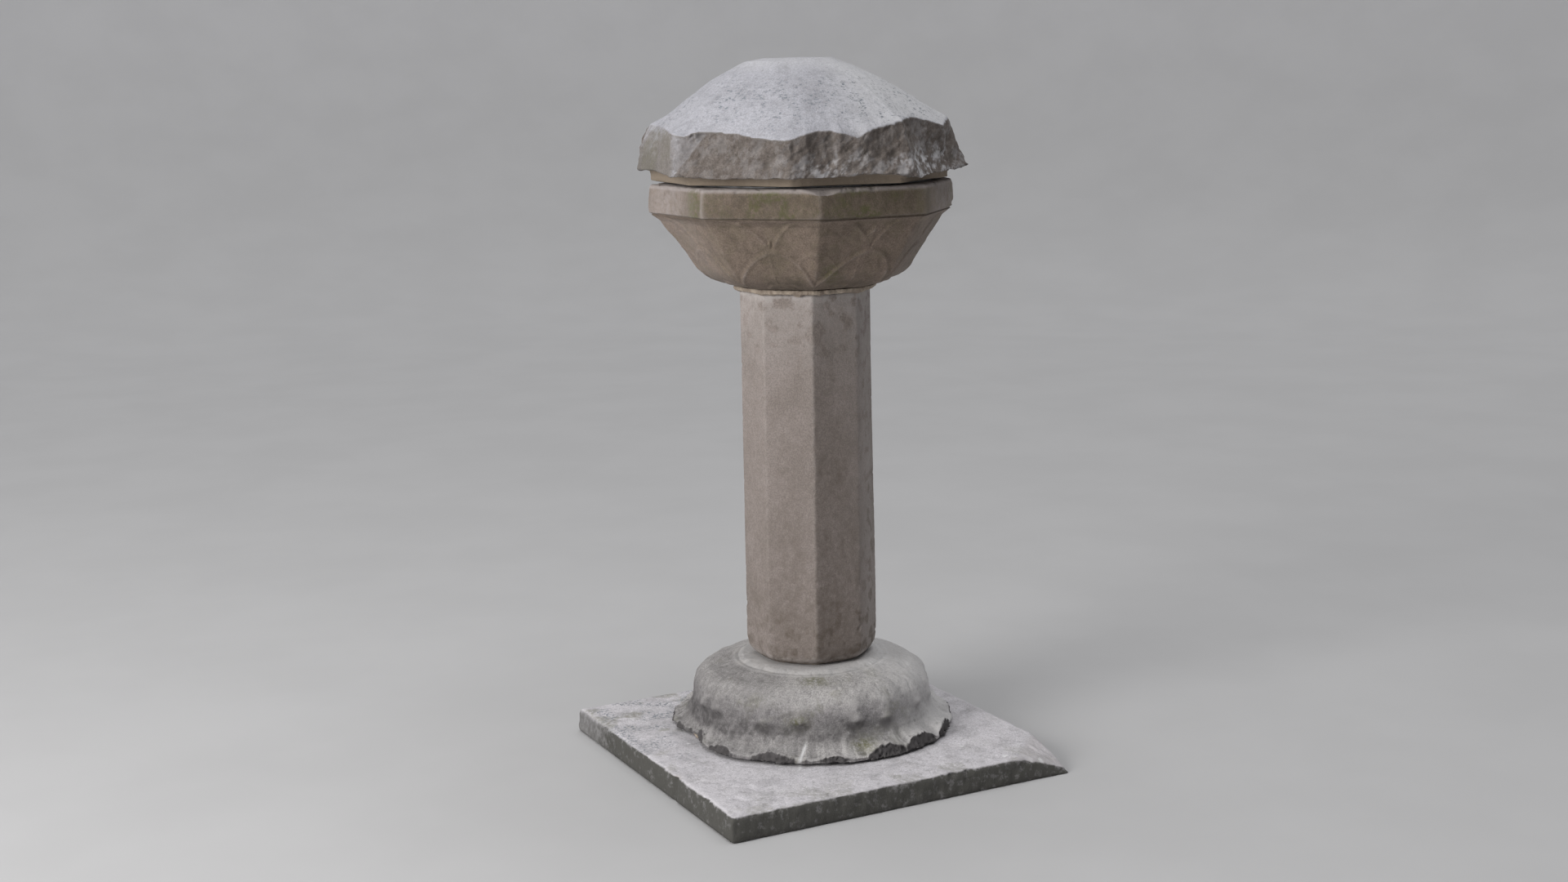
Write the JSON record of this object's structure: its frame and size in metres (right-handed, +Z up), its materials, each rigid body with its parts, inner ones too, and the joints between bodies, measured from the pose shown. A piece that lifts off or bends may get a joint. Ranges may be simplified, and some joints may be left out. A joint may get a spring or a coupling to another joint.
{
  "type": "baptismal font",
  "caption": "Octagonal stone font: petal-carved bowl with a loose roof-shaped stone lid, on an octagonal stem, a round carved base and a square slab.",
  "frame": {"origin": "on the stem's vertical axis, at floor level, at the mouth of the drain's outlet socket", "axes": "+Z up along the stem; the slab's sides and two of the stem's faces lie along X and Y; -Y is the front; the slab's broken corner is at +X, -Y"},
  "size_m": [0.666, 0.6679, 1.253],
  "materials": {
    "slab_stone": "sawn and weathered, pale lavender grey with lichen",
    "base_stone": "carved and weathered, grey beige with dark hollows",
    "stem_stone": "smoothed and weathered, warm grey",
    "bowl_stone": "carved and weathered, brown grey with moss on the rim band",
    "lid_stone": "weathered, pale grey top and rough broken edges",
    "lime_mortar": "rough, tan",
    "sheet_lead": "dressed lead with a dull grey oxide",
    "cast_lead": "cast in place, dull",
    "wrought_iron": "forged, dark",
    "worn_brass": "worn and tarnished",
    "leather": "oiled, dark brown"
  },
  "bodies": {
    "pedestal": {"ground_slab": "slab_stone", "base_mortar": "lime_mortar", "carved_base": "base_stone", "foot_mortar": "lime_mortar", "stem": "stem_stone", "neck_mortar": "lime_mortar", "bowl": "bowl_stone", "basin_lining": "sheet_lead", "drain_fitting": "worn_brass", "solder_joint": "cast_lead", "drain_pipe": "sheet_lead", "base_dowels": "wrought_iron", "base_dowel_lead": "cast_lead", "foot_dowels": "wrought_iron", "foot_dowel_lead": "cast_lead", "neck_dowels": "wrought_iron", "neck_dowel_lead": "cast_lead"},
    "seat_ring": {"seat_ring": "sheet_lead"},
    "lid": {"lid": "lid_stone"},
    "drain_plug": {"drain_plug": "worn_brass", "plug_washer": "leather"},
    "plug_ring": {"plug_ring": "worn_brass"}
  },
  "joints": [
    {"name": "lid_turn", "type": "hinge", "parent": "pedestal", "child": "seat_ring", "pos_m": [0, 0, 1.038], "axis": [0, 0, 1], "continuous": true},
    {"name": "lid_lift", "type": "slide", "parent": "seat_ring", "child": "lid", "axis": [0, 0, 1], "range_m": [0, 0.3]},
    {"name": "plug_lift", "type": "slide", "parent": "pedestal", "child": "drain_plug", "axis": [0, 0, 1], "range_m": [0, 0.04]},
    {"name": "ring_fold", "type": "hinge", "parent": "drain_plug", "child": "plug_ring", "pos_m": [0, 0, 0.9398], "axis": [-1, 0, 0], "range_deg": [0, 180]}
  ]
}
